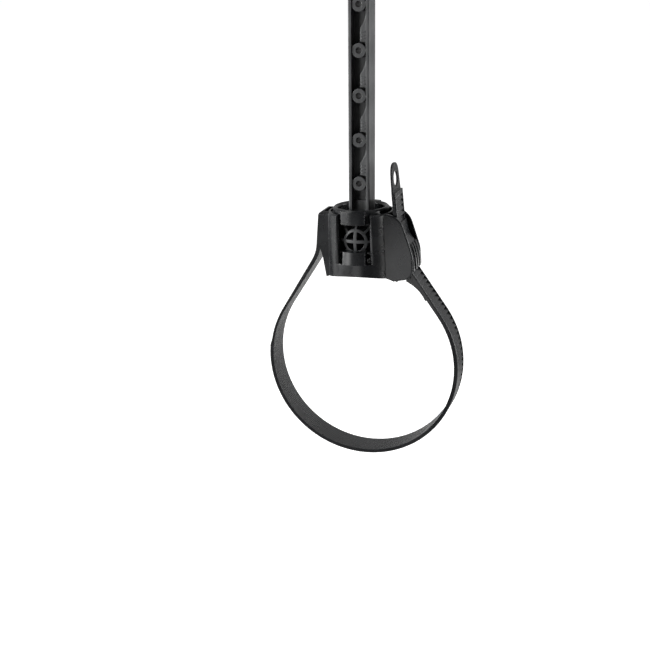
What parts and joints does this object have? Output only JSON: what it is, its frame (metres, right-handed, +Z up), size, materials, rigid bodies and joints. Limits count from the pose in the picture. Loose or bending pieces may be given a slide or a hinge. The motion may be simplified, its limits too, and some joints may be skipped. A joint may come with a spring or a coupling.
{
  "type": "zip tie pipe hanger",
  "caption": "Black plastic pipe hanger: a perforated nailing arm ends in a ball that snaps into a swivel head, whose toothed strap loops round the pipe and locks in the head.",
  "frame": {"origin": "on the axis of the pipe that the strap holds, in the middle of the strap's width", "axes": "+Y along the pipe, +Z up along the arm, +X towards the strap's free tail"},
  "size_m": [0.119, 0.0406, 0.3565],
  "materials": {
    "arm_plastic": "black moulded plastic, satin",
    "head_plastic": "black moulded plastic, satin"
  },
  "bodies": {
    "arm": {"hanger_arm": "arm_plastic"},
    "head": {"tie_head": "head_plastic"}
  },
  "joints": [
    {"name": "ball_swivel", "type": "hinge", "parent": "arm", "child": "head", "pos_m": [-0.00215, 0, 0.07697], "axis": [0, 0, 1], "continuous": true}
  ]
}
